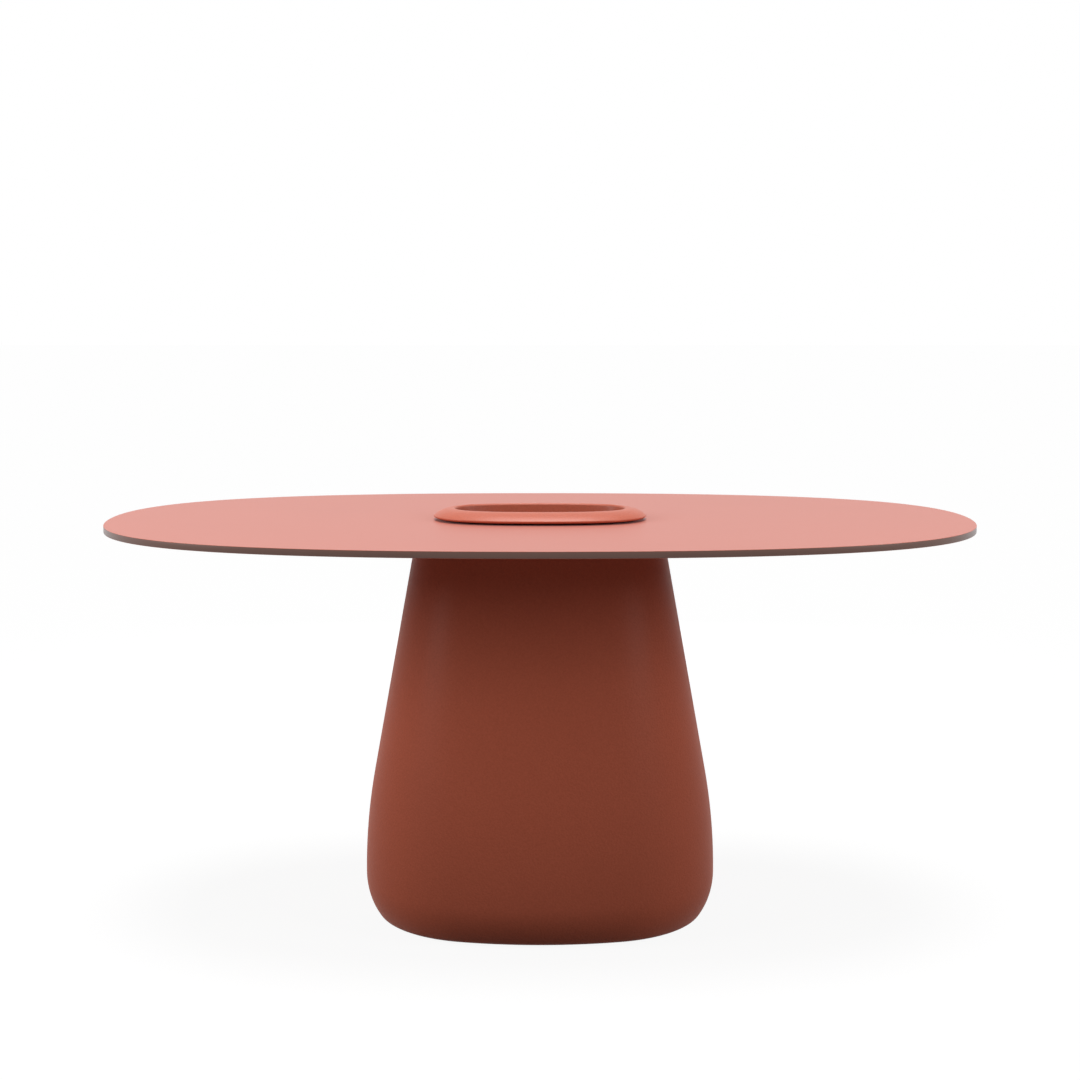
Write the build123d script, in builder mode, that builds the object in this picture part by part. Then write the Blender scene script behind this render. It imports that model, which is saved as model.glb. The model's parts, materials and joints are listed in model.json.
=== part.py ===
from build123d import *
import math
import os

os.makedirs("parts", exist_ok=True)

# A dining table with a lift-out ice bucket. Sizes are in millimetres and degrees.
# The origin is on the floor under the middle of the top, +X along the table, +Y to its back, +Z up.

# Top: a thin sheet of solid laminate with a full oval outline.
TABLE_LENGTH = 1600
TABLE_DEPTH = 900
TABLE_HEIGHT = 740
TOP_THICKNESS = 12
TOP_FULLNESS = 0.69

# Base: a hollow moulded shell, widest low down and tapering up to the top.
BELLY_LENGTH = 654
BELLY_DEPTH = 564
BASE_SIDE_ANGLE = 76.5
BASE_END_ANGLE = 10.4
BASE_SHOULDER_RATIO = 0.795
NECK_INSET = 100.6
FLOOR_GAP = 4
HEEL_RADIUS = 19.5
HEEL_TURN = 55
FLANK_RADIUS = 118
WAIST_RADIUS = 1050
SHELL_WALL = 6
DECK_FLANGE = 18
RIM_WIDTH = 9
POCKET_DRAFT = 7
BOSS_RADIUS = 13
BOSS_ROOF = 8

# Ice bucket: a moulded tub that hangs from a domed collar.
BUCKET_LENGTH = 314
BUCKET_WIDTH = 140
BUCKET_SIDE_ANGLE = 83.6
BUCKET_END_ANGLE = 66
BUCKET_SHOULDER_RATIO = 2.7
BUCKET_DEPTH = 240
BUCKET_WALL = 5
BUCKET_DRAFT = 3
BUCKET_CORNER = 20
COLLAR_WIDTH = 40
COLLAR_HEIGHT = 21.5
COLLAR_GAP = 4
COLLAR_EDGE = 9
COLLAR_UNDERCUT = 3
CREST_CHAMFER = 2.5
TOP_CLEARANCE = 3
BASE_CLEARANCE = 14

# Rubber gasket bonded under the collar.
GASKET_INSET = 14
GASKET_WIDTH = 8

# Steel clamp bars under the shell's deck, with the bolts that hold the top down to it.
CLAMP_THICKNESS = 5
CLAMP_CLEARANCE = 6
SIDE_CLAMP_LENGTH = 250
SIDE_CLAMP_WIDTH = 32
END_CLAMP_LENGTH = 100
CLAMP_BOLT_MARGIN = 16
TOP_BOLT_RADIUS = 3
TOP_BOLT_LENGTH = 18
TOP_HEAD_RADIUS = 5.77
TOP_HEAD_HEIGHT = 4
TOP_HOLE_DEPTH = 9

# Steel ballast plate in the pocket under the base, with its bolts and the inserts above.
PLATE_LENGTH = 460
PLATE_WIDTH = 360
PLATE_CORNER = 60
PLATE_THICKNESS = 20
PLATE_BOLT_RADIUS = 4
PLATE_BOLT_LENGTH = 24
PLATE_HEAD_RADIUS = 7.5
PLATE_HEAD_HEIGHT = 8
PLATE_RECESS_RADIUS = 9
PLATE_RECESS_DEPTH = 9
PLATE_INSERT_RADIUS = 8
PLATE_INSERT_LENGTH = 16

# Levelling feet, screwed into the plate near its corners.
FOOT_INSET = 40
PAD_RADIUS = 24
PAD_HEIGHT = 9
PAD_FLOOR = 3
PIN_RADIUS = 4
STEM_RADIUS = 5
STEM_LENGTH = 19
NUT_RADIUS = 9.24
NUT_HEIGHT = 6
NUT_GAP = 1

# Radial clearances: bolts in their holes, inserts in their pockets, stems that turn.
BOLT_CLEARANCE = 0.1
INSERT_CLEARANCE = 0.05
TURN_CLEARANCE = 0.05

# Levels above the floor.
TOP_UNDERSIDE = TABLE_HEIGHT - TOP_THICKNESS
DECK_BOTTOM = TOP_UNDERSIDE - SHELL_WALL
CLAMP_BOTTOM = DECK_BOTTOM - CLAMP_THICKNESS
NUT_BOTTOM = PAD_HEIGHT + NUT_GAP
PLATE_BOTTOM = NUT_BOTTOM + NUT_HEIGHT
PLATE_SEAT = PLATE_BOTTOM + PLATE_RECESS_DEPTH
PLATE_TOP = PLATE_BOTTOM + PLATE_THICKNESS
CEILING_TOP = PLATE_TOP + SHELL_WALL
CREST_LEVEL = TABLE_HEIGHT + COLLAR_HEIGHT
COLLAR_UNDERSIDE = TABLE_HEIGHT + COLLAR_GAP
BUCKET_BOTTOM = TABLE_HEIGHT - BUCKET_DEPTH
BUCKET_FLOOR = BUCKET_BOTTOM + BUCKET_WALL


def sin(degrees):
    return math.sin(math.radians(degrees))


def cos(degrees):
    return math.cos(math.radians(degrees))


def tan(degrees):
    return math.tan(math.radians(degrees))


def bezier_oval(half_x, half_y, fullness):
    """Face of an oval whose four quarters are one Bezier curve each, on the floor plane."""
    quarter = Bezier(
        (half_x, 0),
        (half_x, fullness * half_y),
        (fullness * half_x, half_y),
        (0, half_y),
    )
    back = [quarter, quarter.mirror(Plane.YZ)]
    front = [edge.mirror(Plane.XZ) for edge in back]
    return Face(Wire(back + front))


def arc_oval(half_x, half_y, side_turn, end_turn, shoulder_radius, grow):
    """Closed oval of eight tangent arcs: two sides, two ends and the four shoulders between them.

    The outline's normal points at side_turn degrees where a side meets a shoulder and at
    end_turn degrees where the shoulder meets the end. Growing it keeps the arcs' centres.
    """
    # The three arcs of a quarter add up to half_x across and half_y up, which fixes two radii.
    across = half_x - shoulder_radius * (cos(end_turn) - cos(side_turn))
    up = half_y - shoulder_radius * (sin(side_turn) - sin(end_turn))
    scale = cos(side_turn) * sin(end_turn) - (1 - cos(end_turn)) * (1 - sin(side_turn))
    side_radius = (across * sin(end_turn) - up * (1 - cos(end_turn))) / scale
    end_radius = (up * cos(side_turn) - across * (1 - sin(side_turn))) / scale

    end_x = half_x - end_radius
    side_y = half_y - side_radius
    shoulder_x = (side_radius - shoulder_radius) * cos(side_turn)
    shoulder_y = side_y + (side_radius - shoulder_radius) * sin(side_turn)
    shoulder_arc = side_turn - end_turn
    with BuildLine() as outline:
        for half_turn, sign in ((0, 1), (180, -1)):
            end = (sign * end_x, 0)
            side = (0, sign * side_y)
            shoulder = (sign * shoulder_x, sign * shoulder_y)
            far_shoulder = (-sign * shoulder_x, sign * shoulder_y)
            CenterArc(end, end_radius + grow, half_turn - end_turn, 2 * end_turn)
            CenterArc(shoulder, shoulder_radius + grow, half_turn + end_turn, shoulder_arc)
            CenterArc(side, side_radius + grow, half_turn + side_turn, 180 - 2 * side_turn)
            CenterArc(far_shoulder, shoulder_radius + grow, half_turn + 180 - side_turn, shoulder_arc)
    return outline.wire()


def base_oval(grow):
    """Outline parallel to the base's widest oval, grow millimetres outside it."""
    half_y = BELLY_DEPTH / 2
    shoulder_radius = BASE_SHOULDER_RATIO * half_y
    return arc_oval(BELLY_LENGTH / 2, half_y, BASE_SIDE_ANGLE, BASE_END_ANGLE, shoulder_radius, grow)


def bucket_oval(grow):
    """Outline parallel to the bucket's opening, grow millimetres outside it."""
    half_y = BUCKET_WIDTH / 2
    shoulder_radius = BUCKET_SHOULDER_RATIO * half_y
    return arc_oval(BUCKET_LENGTH / 2, half_y, BUCKET_SIDE_ANGLE, BUCKET_END_ANGLE, shoulder_radius, grow)


def section_plane(path):
    """Upright plane across the start of a path: x outward from the path, y the height."""
    along = path % 0
    return Plane(path @ 0, x_dir=(along.Y, -along.X, 0), z_dir=(-along.X, -along.Y, 0))


def mirrored(x, y):
    """A point and its mirror images in the other three quarters."""
    return [(x, y), (-x, y), (-x, -y), (x, -y)]


def save(solid, name):
    """Label a finished piece and write its file."""
    solid.label = name
    export_step(solid, f"parts/{name}.step")


# The shell's section, measured outward from its widest oval.
flank_turn = 90 - HEEL_TURN
flank_run = FLANK_RADIUS * (1 - cos(flank_turn))
belly_level = FLOOR_GAP + HEEL_RADIUS * (1 - cos(HEEL_TURN)) + FLANK_RADIUS * sin(flank_turn)
rim_outside = -(HEEL_RADIUS * sin(HEEL_TURN) + flank_run)
rim_inside = rim_outside - RIM_WIDTH
pocket_inside = rim_inside - (PLATE_TOP - FLOOR_GAP) * tan(POCKET_DRAFT)
ceiling_turn = math.asin((belly_level - CEILING_TOP) / FLANK_RADIUS)
ceiling_inside = -FLANK_RADIUS * (1 - math.cos(ceiling_turn)) - SHELL_WALL
neck_inside = -NECK_INSET
deck_inside = neck_inside - DECK_FLANGE

# The taper is the line from the neck that touches the waist's arc.
neck_run = WAIST_RADIUS - NECK_INSET
neck_rise = TOP_UNDERSIDE - belly_level
neck_reach = math.hypot(neck_run, neck_rise)
base_taper = math.degrees(math.atan2(neck_rise, neck_run) - math.acos(WAIST_RADIUS / neck_reach))
waist_inside = -WAIST_RADIUS * (1 - cos(base_taper))
waist_level = belly_level + WAIST_RADIUS * sin(base_taper)

# The bucket's section, measured outward from its opening.
corner_level = BUCKET_FLOOR + BUCKET_CORNER
corner_inside = -(CREST_LEVEL - CREST_CHAMFER - corner_level) * tan(BUCKET_DRAFT)
floor_inside = corner_inside - BUCKET_CORNER
neck_outside = BUCKET_WALL - (CREST_LEVEL - CREST_CHAMFER - COLLAR_UNDERSIDE) * tan(BUCKET_DRAFT)
cutout_outside = BUCKET_WALL + TOP_CLEARANCE
deck_opening = BUCKET_WALL + BASE_CLEARANCE

# Where the clamps, fasteners and feet go: clamps lie midway between the deck's opening and the wall.
neck_wall = neck_inside - SHELL_WALL
end_room = (BELLY_LENGTH / 2 + neck_wall) - (BUCKET_LENGTH / 2 + deck_opening)
end_clamp_x = BUCKET_LENGTH / 2 + deck_opening + end_room / 2
end_clamp_width = end_room - 2 * CLAMP_CLEARANCE
side_clamp_y = (BUCKET_WIDTH / 2 + deck_opening + BELLY_DEPTH / 2 + neck_wall) / 2
end_bolt_spots = mirrored(end_clamp_x, END_CLAMP_LENGTH / 2 - CLAMP_BOLT_MARGIN)
side_bolt_spots = mirrored(SIDE_CLAMP_LENGTH / 2 - CLAMP_BOLT_MARGIN, side_clamp_y)
top_bolt_spots = end_bolt_spots + side_bolt_spots
foot_x = PLATE_LENGTH / 2 - FOOT_INSET
foot_y = PLATE_WIDTH / 2 - FOOT_INSET
foot_spots = mirrored(foot_x, foot_y)
plate_bolt_spots = mirrored(foot_x / 2, foot_y / 2)


# Tabletop: the sheet, its cut-out for the bucket and blind tapped holes for the bolts.
with BuildPart() as tabletop:
    outline = bezier_oval(TABLE_LENGTH / 2, TABLE_DEPTH / 2, TOP_FULLNESS)
    extrude(Pos(0, 0, TOP_UNDERSIDE) * outline, amount=TOP_THICKNESS, clean=False)
    with BuildSketch(Plane.XY.offset(TOP_UNDERSIDE)):
        make_face(bucket_oval(cutout_outside).edges())
    extrude(amount=TOP_THICKNESS, mode=Mode.SUBTRACT, clean=False)
    with BuildSketch(Plane.XY.offset(TOP_UNDERSIDE)):
        with Locations(*top_bolt_spots):
            Circle(TOP_BOLT_RADIUS + BOLT_CLEARANCE)
    extrude(amount=TOP_HOLE_DEPTH, mode=Mode.SUBTRACT, clean=False)
save(tabletop.part, "tabletop")


# Base shell: the skin's section swept around the oval, closed by a deck above and a pocket
# ceiling below, with bosses over the ceiling for the plate's bolts.
base_path = base_oval(0)
with BuildPart() as base_shell:
    with BuildSketch(section_plane(base_path)):
        with BuildLine():
            pocket_wall = Line((pocket_inside, PLATE_TOP), (rim_inside, FLOOR_GAP))
            rim = Line(pocket_wall @ 1, (rim_outside, FLOOR_GAP))
            heel = JernArc(rim @ 1, (1, 0), HEEL_RADIUS, HEEL_TURN)
            flank = JernArc(heel @ 1, heel % 1, FLANK_RADIUS, flank_turn)
            waist = JernArc(flank @ 1, flank % 1, WAIST_RADIUS, base_taper)
            taper = Line(waist @ 1, (neck_inside, TOP_UNDERSIDE))
            Polyline(
                taper @ 1,
                (deck_inside, TOP_UNDERSIDE),
                (deck_inside, DECK_BOTTOM),
                (neck_wall, DECK_BOTTOM),
                (waist_inside - SHELL_WALL, waist_level),
                (-SHELL_WALL, belly_level),
                (ceiling_inside, CEILING_TOP),
                (pocket_inside, CEILING_TOP),
                pocket_wall @ 0,
            )
        make_face()
    sweep(path=base_path)
    with BuildSketch(Plane.XY.offset(DECK_BOTTOM)):
        make_face(base_oval(deck_inside).edges())
        make_face(bucket_oval(deck_opening).edges(), mode=Mode.SUBTRACT)
        with Locations(*top_bolt_spots):
            Circle(TOP_BOLT_RADIUS + BOLT_CLEARANCE, mode=Mode.SUBTRACT)
    extrude(amount=SHELL_WALL)
    with BuildSketch(Plane.XY.offset(PLATE_TOP)):
        make_face(base_oval(pocket_inside).edges())
    extrude(amount=SHELL_WALL)
    with BuildSketch(Plane.XY.offset(PLATE_TOP)):
        with Locations(*plate_bolt_spots):
            Circle(BOSS_RADIUS)
    extrude(amount=PLATE_INSERT_LENGTH + BOSS_ROOF)
    with BuildSketch(Plane.XY.offset(PLATE_TOP)):
        with Locations(*plate_bolt_spots):
            RegularPolygon(PLATE_INSERT_RADIUS + INSERT_CLEARANCE, 6)
    extrude(amount=PLATE_INSERT_LENGTH, mode=Mode.SUBTRACT)
save(base_shell.part, "base_shell")


# Ice bucket: domed collar, drafted wall and sloped bottom corner in one section, and a flat bottom.
bucket_path = bucket_oval(0)
with BuildPart() as ice_bucket:
    with BuildSketch(section_plane(bucket_path)):
        with BuildLine():
            crest = Polyline(
                (floor_inside, BUCKET_BOTTOM),
                (floor_inside, BUCKET_FLOOR),
                (corner_inside, corner_level),
                (0, CREST_LEVEL - CREST_CHAMFER),
                (CREST_CHAMFER, CREST_LEVEL),
            )
            dome = TangentArc(crest @ 1, (COLLAR_WIDTH, TABLE_HEIGHT + COLLAR_EDGE), tangent=(1, 0))
            Polyline(
                dome @ 1,
                (COLLAR_WIDTH - COLLAR_UNDERCUT, COLLAR_UNDERSIDE),
                (neck_outside, COLLAR_UNDERSIDE),
                (corner_inside + BUCKET_WALL, corner_level),
                (floor_inside + BUCKET_WALL, BUCKET_BOTTOM),
                crest @ 0,
            )
        make_face()
    sweep(path=bucket_path)
    with BuildSketch(Plane.XY.offset(BUCKET_BOTTOM)):
        make_face(bucket_oval(floor_inside).edges())
    extrude(amount=BUCKET_WALL)
save(ice_bucket.part, "ice_bucket")


# Collar gasket: a rubber ring that holds the collar just clear of the tabletop.
with BuildPart() as collar_gasket:
    with BuildSketch(Plane.XY.offset(TABLE_HEIGHT)):
        make_face(bucket_oval(GASKET_INSET + GASKET_WIDTH).edges())
        make_face(bucket_oval(GASKET_INSET).edges(), mode=Mode.SUBTRACT)
    extrude(amount=COLLAR_GAP)
save(collar_gasket.part, "collar_gasket")


# Clamp bars: flat bars under the deck, each small enough to pass through its opening.
clamp_bars = {
    "clamp_front": (0, -side_clamp_y, SIDE_CLAMP_LENGTH, SIDE_CLAMP_WIDTH),
    "clamp_back": (0, side_clamp_y, SIDE_CLAMP_LENGTH, SIDE_CLAMP_WIDTH),
    "clamp_left": (-end_clamp_x, 0, end_clamp_width, END_CLAMP_LENGTH),
    "clamp_right": (end_clamp_x, 0, end_clamp_width, END_CLAMP_LENGTH),
}
for name, (x, y, length, width) in clamp_bars.items():
    with BuildPart() as clamp:
        with BuildSketch(Plane.XY.offset(CLAMP_BOTTOM)):
            with Locations((x, y)):
                Rectangle(length, width)
            with Locations(*top_bolt_spots):
                Circle(TOP_BOLT_RADIUS + BOLT_CLEARANCE, mode=Mode.SUBTRACT)
        extrude(amount=CLAMP_THICKNESS)
    save(clamp.part, name)


# Top bolts: hexagon heads under the clamp bars, shanks up into the tabletop.
with BuildPart() as top_bolts:
    with BuildSketch(Plane.XY.offset(CLAMP_BOTTOM)):
        with Locations(*top_bolt_spots):
            RegularPolygon(TOP_HEAD_RADIUS, 6)
    extrude(amount=-TOP_HEAD_HEIGHT)
    with BuildSketch(Plane.XY.offset(CLAMP_BOTTOM)):
        with Locations(*top_bolt_spots):
            Circle(TOP_BOLT_RADIUS)
    extrude(amount=TOP_BOLT_LENGTH)
save(top_bolts.part, "top_bolts")


# Ballast plate: thick steel in the pocket, tapped for the feet and counterbored for its bolts.
with BuildPart() as ballast_plate:
    with BuildSketch(Plane.XY.offset(PLATE_BOTTOM)):
        RectangleRounded(PLATE_LENGTH, PLATE_WIDTH, PLATE_CORNER)
        with Locations(*foot_spots):
            Circle(STEM_RADIUS + TURN_CLEARANCE, mode=Mode.SUBTRACT)
        with Locations(*plate_bolt_spots):
            Circle(PLATE_BOLT_RADIUS + BOLT_CLEARANCE, mode=Mode.SUBTRACT)
    extrude(amount=PLATE_THICKNESS)
    with BuildSketch(Plane.XY.offset(PLATE_BOTTOM)):
        with Locations(*plate_bolt_spots):
            Circle(PLATE_RECESS_RADIUS)
    extrude(amount=PLATE_RECESS_DEPTH, mode=Mode.SUBTRACT)
save(ballast_plate.part, "ballast_plate")


# Plate bolts: hexagon heads sunk in the plate, shanks up into the shell's inserts.
with BuildPart() as plate_bolts:
    with BuildSketch(Plane.XY.offset(PLATE_SEAT)):
        with Locations(*plate_bolt_spots):
            RegularPolygon(PLATE_HEAD_RADIUS, 6)
    extrude(amount=-PLATE_HEAD_HEIGHT)
    with BuildSketch(Plane.XY.offset(PLATE_SEAT)):
        with Locations(*plate_bolt_spots):
            Circle(PLATE_BOLT_RADIUS)
    extrude(amount=PLATE_BOLT_LENGTH)
save(plate_bolts.part, "plate_bolts")


# Plate inserts: hexagonal brass nuts moulded into the shell's bosses.
with BuildPart() as plate_inserts:
    with BuildSketch(Plane.XY.offset(PLATE_TOP)):
        with Locations(*plate_bolt_spots):
            RegularPolygon(PLATE_INSERT_RADIUS, 6)
            Circle(PLATE_BOLT_RADIUS + BOLT_CLEARANCE, mode=Mode.SUBTRACT)
    extrude(amount=PLATE_INSERT_LENGTH)
save(plate_inserts.part, "plate_inserts")


# Foot pad: a hexagonal shoe with a blind bore for the stem's pin.
with BuildPart() as foot_pad:
    with BuildSketch(Plane.XY):
        RegularPolygon(PAD_RADIUS, 6)
    extrude(amount=PAD_HEIGHT)
    with BuildSketch(Plane.XY.offset(PAD_FLOOR)):
        Circle(PIN_RADIUS + TURN_CLEARANCE)
    extrude(amount=PAD_HEIGHT - PAD_FLOOR, mode=Mode.SUBTRACT)

# Foot stem: a pin that turns in the pad, a hexagon for the spanner and the screw above it.
with BuildPart() as foot_stem:
    with BuildSketch(Plane.XY.offset(PAD_FLOOR)):
        Circle(PIN_RADIUS)
    extrude(amount=NUT_BOTTOM - PAD_FLOOR)
    with BuildSketch(Plane.XY.offset(NUT_BOTTOM)):
        RegularPolygon(NUT_RADIUS, 6)
    extrude(amount=NUT_HEIGHT)
    with BuildSketch(Plane.XY.offset(PLATE_BOTTOM)):
        Circle(STEM_RADIUS)
    extrude(amount=STEM_LENGTH)

for number, (x, y) in enumerate(foot_spots, start=1):
    save(Pos(x, y, 0) * foot_pad.part, f"foot_pad_{number}")
    save(Pos(x, y, 0) * foot_stem.part, f"foot_stem_{number}")
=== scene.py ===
# %% [markdown]
# # A dining table with a lift-out ice bucket
# The table is three big forms: a thin oval top, a moulded pedestal that is widest near the floor, and a
# tub that hangs in the middle of the top by a domed collar. Small steel and nylon parts hold them together.
# The solids arrive as a fixed frame, already at their size. Each piece here is modelled over its own solid,
# in metres and in the same place, so nothing has to be fitted by eye.

# %% Load the frame
import json
import math
import bmesh
import bpy
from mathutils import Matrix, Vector

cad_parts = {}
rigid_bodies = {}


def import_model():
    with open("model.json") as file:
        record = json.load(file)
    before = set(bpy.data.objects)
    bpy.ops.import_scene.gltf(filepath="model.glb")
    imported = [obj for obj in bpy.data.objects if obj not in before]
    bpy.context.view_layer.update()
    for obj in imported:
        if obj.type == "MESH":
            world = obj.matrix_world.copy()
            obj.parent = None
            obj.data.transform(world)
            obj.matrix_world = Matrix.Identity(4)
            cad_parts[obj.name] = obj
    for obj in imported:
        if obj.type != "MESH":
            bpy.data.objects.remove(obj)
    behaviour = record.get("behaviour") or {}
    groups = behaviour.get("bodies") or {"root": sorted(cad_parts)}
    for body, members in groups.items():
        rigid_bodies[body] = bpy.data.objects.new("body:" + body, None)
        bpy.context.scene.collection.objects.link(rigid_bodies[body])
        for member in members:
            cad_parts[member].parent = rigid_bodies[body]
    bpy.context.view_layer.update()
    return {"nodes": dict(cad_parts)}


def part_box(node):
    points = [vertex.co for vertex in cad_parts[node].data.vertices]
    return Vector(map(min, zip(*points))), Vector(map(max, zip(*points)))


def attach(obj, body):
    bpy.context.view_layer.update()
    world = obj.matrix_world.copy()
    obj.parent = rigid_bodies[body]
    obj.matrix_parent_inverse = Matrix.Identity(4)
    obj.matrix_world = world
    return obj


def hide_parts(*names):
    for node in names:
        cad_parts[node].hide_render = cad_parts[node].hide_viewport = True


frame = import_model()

MM = 0.001

# %% [markdown]
# ## Camera
# The camera comes first, because every comparison with the photograph depends on it. One outline can't give
# both the table and the camera: a deep table seen from far off at a low angle looks like a shallow one seen
# from nearer and higher. So the table's size was chosen, and the camera's height, distance, tilt and focal
# length were then solved until the outline agreed. A long lens from almost 4 m away keeps the oval nearly
# flat, as in a catalogue picture.

# %% Camera
IMAGE_SIZE = 1080
FOCAL_LENGTH_IN_PIXELS = 2060
CAMERA_TILT = 7.433
CAMERA_PLACE = (0, -3.7985, 1.1962)

bpy.ops.object.camera_add(location=CAMERA_PLACE, rotation=(math.radians(90 - CAMERA_TILT), 0, 0))
camera = bpy.context.object
camera.name = "photo_camera"
camera.data.lens = FOCAL_LENGTH_IN_PIXELS / IMAGE_SIZE * camera.data.sensor_width
bpy.context.scene.camera = camera
print("camera lens in mm:", round(camera.data.lens, 2))

# %% [markdown]
# ## Tools for drawing with operators
# A section could be typed in as a list of points, but then a reader can't see why each point is there.
# Here one point is drawn along by extruding it for a straight run and spinning it for an arc, and the
# finished section is spun again about upright axes to carry it round an oval. The same two operators, used
# by hand in edit mode, give the same shape.

# %% Drawing tools
SHARP_ANGLE = 40
TOLERANCE = 0.1 * MM
MERGE_DISTANCE = 0.01 * MM


def new_piece(name):
    """An empty mesh at the origin, open in edit mode."""
    bpy.ops.object.select_all(action="DESELECT")
    bpy.ops.object.add(type="MESH")
    piece = bpy.context.object
    piece.name = name
    piece.data.name = name
    bpy.ops.object.mode_set(mode="EDIT")
    return piece


def put_point(x, z):
    """One selected point on the section plane: a new square merged to its middle."""
    bpy.ops.mesh.select_mode(type="VERT")
    bpy.ops.mesh.select_all(action="DESELECT")
    bpy.ops.mesh.primitive_plane_add(size=MM, location=(x, 0, z))
    bpy.ops.mesh.merge(type="CENTER")


def line_by(x, z):
    """Extrudes the selected end of a section in a straight run."""
    bpy.ops.mesh.extrude_region_move(TRANSFORM_OT_translate={"value": (x, 0, z)})


def arc_about(x, z, degrees, steps):
    """Spins the selected end of a section about a centre; positive turns from down to out to up."""
    bpy.ops.mesh.spin(steps=steps, angle=math.radians(degrees), center=(x, 0, z), axis=(0, 1, 0))


def pick_open_edges(piece, level):
    """Selects the open edges of a mesh in edit mode that lie at one level."""
    bpy.ops.mesh.select_mode(type="EDGE")
    bpy.ops.mesh.select_all(action="DESELECT")
    mesh = bmesh.from_edit_mesh(piece.data)
    for edge in mesh.edges:
        off_level = max(abs(point.co.z - level) for point in edge.verts)
        edge.select_set(edge.is_boundary and off_level < TOLERANCE)
    bmesh.update_edit_mesh(piece.data)


def pick_faces(piece, level):
    """Selects the flat faces of a mesh in edit mode that lie at one level."""
    bpy.ops.mesh.select_mode(type="FACE")
    bpy.ops.mesh.select_all(action="DESELECT")
    mesh = bmesh.from_edit_mesh(piece.data)
    for face in mesh.faces:
        off_level = max(abs(point.co.z - level) for point in face.verts)
        face.select_set(off_level < TOLERANCE)
    bmesh.update_edit_mesh(piece.data)


def ease_sharp_edges(width, segments):
    """Bevels every sharp edge of the mesh in edit mode."""
    bpy.ops.mesh.select_mode(type="EDGE")
    bpy.ops.mesh.select_all(action="DESELECT")
    bpy.ops.mesh.edges_select_sharp(sharpness=math.radians(SHARP_ANGLE))
    bpy.ops.mesh.bevel(offset=width, segments=segments, affect="EDGES")


def merge_points():
    """Selects the whole mesh in edit mode and merges its doubled points."""
    bpy.ops.mesh.select_all(action="SELECT")
    bpy.ops.mesh.remove_doubles(threshold=MERGE_DISTANCE)


def close_up(piece):
    """Merges doubled points, turns every face outwards and goes back to object mode."""
    merge_points()
    bpy.ops.mesh.normals_make_consistent(inside=False)
    bpy.ops.object.mode_set(mode="OBJECT")
    print(piece.name, "faces:", len(piece.data.polygons))


print("drawing tools ready")

# %% [markdown]
# ## Ovals made of arcs
# The pedestal and the tub are both round in plan but not ellipses. The pedestal has tight shoulders between
# gently curved sides and ends, and the tub has small round ends and nearly flat sides. Eight arcs that meet
# without a corner describe both, and a maker could set them out with a compass. A class keeps the three
# kinds of centre and walks a section round them.

# %% Arc ovals
class ArcOval:
    """Two sides, two ends and the four shoulders between them, with the steps that each arc is cut into."""

    def __init__(self, half_x, half_y, side_angle, end_angle, shoulder_radius, steps):
        side = math.radians(side_angle)
        end = math.radians(end_angle)
        # The half width and the half depth give one equation each for the two radii that are left open.
        across = half_x - shoulder_radius * (math.cos(end) - math.cos(side))
        up = half_y - shoulder_radius * (math.sin(side) - math.sin(end))
        flat = 1 - math.cos(end)
        steep = 1 - math.sin(side)
        scale = math.cos(side) * math.sin(end) - flat * steep
        side_radius = (across * math.sin(end) - up * flat) / scale
        end_radius = (up * math.cos(side) - across * steep) / scale
        self.half_x = half_x
        self.end_x = half_x - end_radius
        self.side_y = half_y - side_radius
        self.shoulder_x = (side_radius - shoulder_radius) * math.cos(side)
        self.shoulder_y = self.side_y + (side_radius - shoulder_radius) * math.sin(side)
        self.turns = (end, side - end, math.pi / 2 - side)
        self.steps = steps

    def sweep(self):
        """Spins what is selected, which lies at the +X end, once round the oval."""
        end_turn, shoulder_turn, side_turn = self.turns
        end_steps, shoulder_steps, side_steps = self.steps
        for way in (1, -1):
            end = (way * self.end_x, 0)
            far_end = (-way * self.end_x, 0)
            side = (0, way * self.side_y)
            shoulder = (way * self.shoulder_x, way * self.shoulder_y)
            far_shoulder = (-way * self.shoulder_x, way * self.shoulder_y)
            arcs = [
                (end, end_turn, end_steps),
                (shoulder, shoulder_turn, shoulder_steps),
                (side, 2 * side_turn, 2 * side_steps),
                (far_shoulder, shoulder_turn, shoulder_steps),
                (far_end, end_turn, end_steps),
            ]
            for (x, y), turn, steps in arcs:
                bpy.ops.mesh.spin(steps=steps, angle=-turn, center=(x, y, 0), axis=(0, 0, 1))


base_oval = ArcOval(
    half_x=327 * MM,
    half_y=282 * MM,
    side_angle=76.5,
    end_angle=10.4,
    shoulder_radius=224.2 * MM,
    steps=(10, 32, 18),
)
bucket_oval = ArcOval(
    half_x=157 * MM,
    half_y=70 * MM,
    side_angle=83.6,
    end_angle=66,
    shoulder_radius=189 * MM,
    steps=(22, 18, 20),
)
print("points round each oval:", 4 * sum(base_oval.steps), 4 * sum(bucket_oval.steps))

# %% [markdown]
# ## Tabletop
# The top is a 12 mm sheet of solid laminate: coloured faces on a dark core, cut to a full oval. A Bezier
# circle is the quickest way to that outline, because four points with long handles already give it. It
# becomes a mesh ring, a second ring is spun for the cut-out, and a bridge fills the sheet between them.
# The arrises are eased by less than a millimetre, which is what catches the light along the rim.

# %% Tabletop
TOP_FULLNESS = 0.69
TOP_EASING = 0.5 * MM
TOP_BORDER = 2 * MM
TOP_CUTS = 8
CUTOUT_OUTSIDE = 8 * MM

top_low, top_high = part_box("tabletop")
half_length = top_high[0]
half_depth = top_high[1]
TABLE_HEIGHT = top_high[2]
TOP_UNDERSIDE = top_low[2]

table_top = new_piece("table_top")
put_point(bucket_oval.half_x + CUTOUT_OUTSIDE, TABLE_HEIGHT)
bucket_oval.sweep()
close_up(table_top)

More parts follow.
